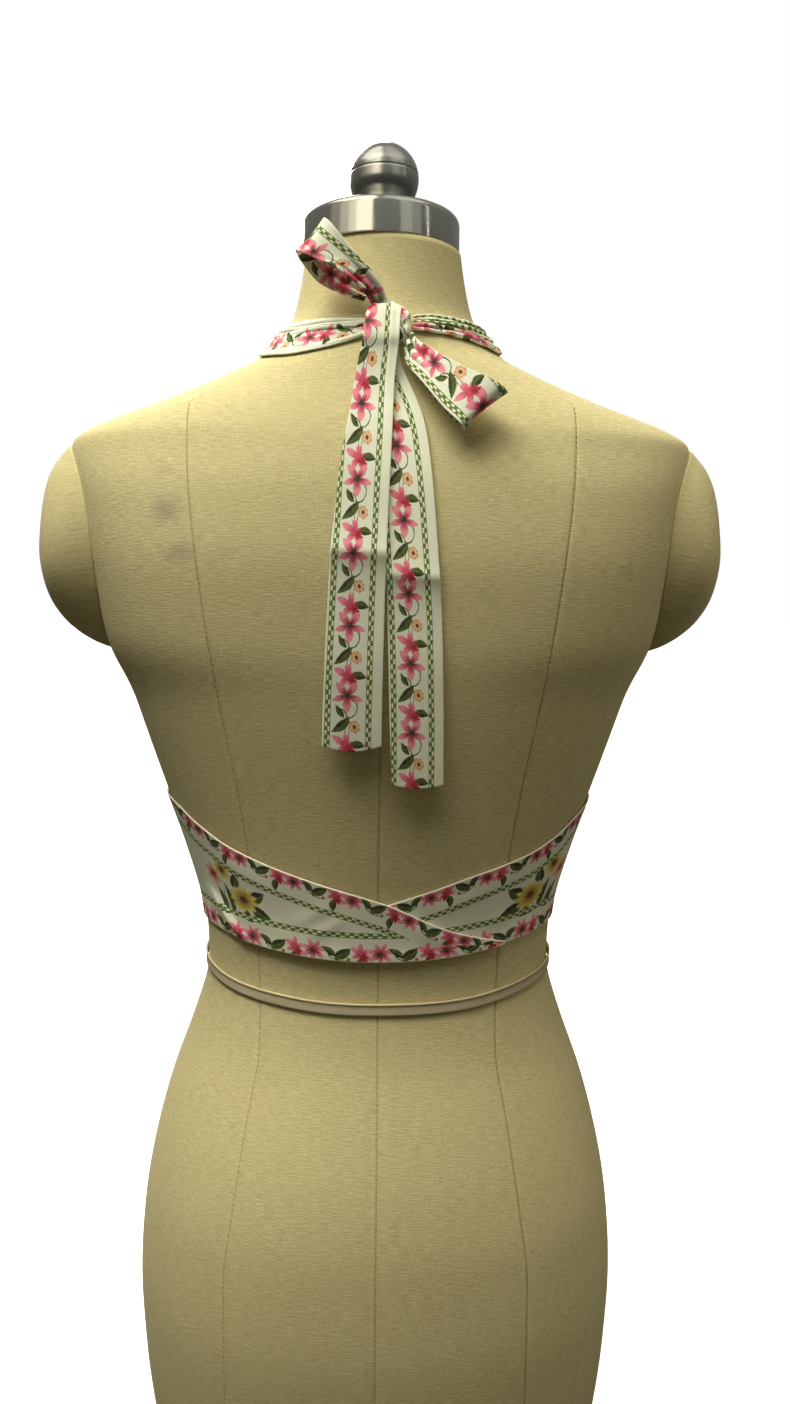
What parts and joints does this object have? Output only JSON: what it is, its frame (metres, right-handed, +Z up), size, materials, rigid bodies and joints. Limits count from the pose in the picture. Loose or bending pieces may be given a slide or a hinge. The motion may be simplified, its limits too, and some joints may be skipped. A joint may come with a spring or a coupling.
{
  "type": "halter top on dress form",
  "caption": "Cropped halter top with a crossed-over back band and a bow tied at the nape, worn on a limbless dress form with shoulder caps.",
  "frame": {"origin": "under the middle of the whole, on the flat underside of the form's body", "axes": "+Z up, -Y is the wearer's front, +Y the back with the bow, +X the wearer's left"},
  "size_m": [0.4694, 0.265, 0.9476],
  "materials": {
    "form_linen": "plain woven unbleached linen, drawn tight, matt",
    "printed_cotton": "smooth cream cotton with a printed flower border, soft sheen",
    "woven_tape": "narrow woven cotton tape",
    "brushed_steel": "turned and brushed, satin"
  },
  "bodies": {
    "root": {"form_body": "form_linen", "form_shoulder_left": "form_linen", "form_shoulder_right": "form_linen", "form_waist_tape": "woven_tape", "form_neck_cap": "brushed_steel", "form_knob": "brushed_steel", "front": "printed_cotton", "wing_left": "printed_cotton", "wing_right": "printed_cotton", "strap_left": "printed_cotton", "strap_right": "printed_cotton", "bow_knot": "printed_cotton", "bow_loop_upper": "printed_cotton", "bow_loop_lower": "printed_cotton", "tail_left": "printed_cotton", "tail_right": "printed_cotton"}
  },
  "joints": []
}
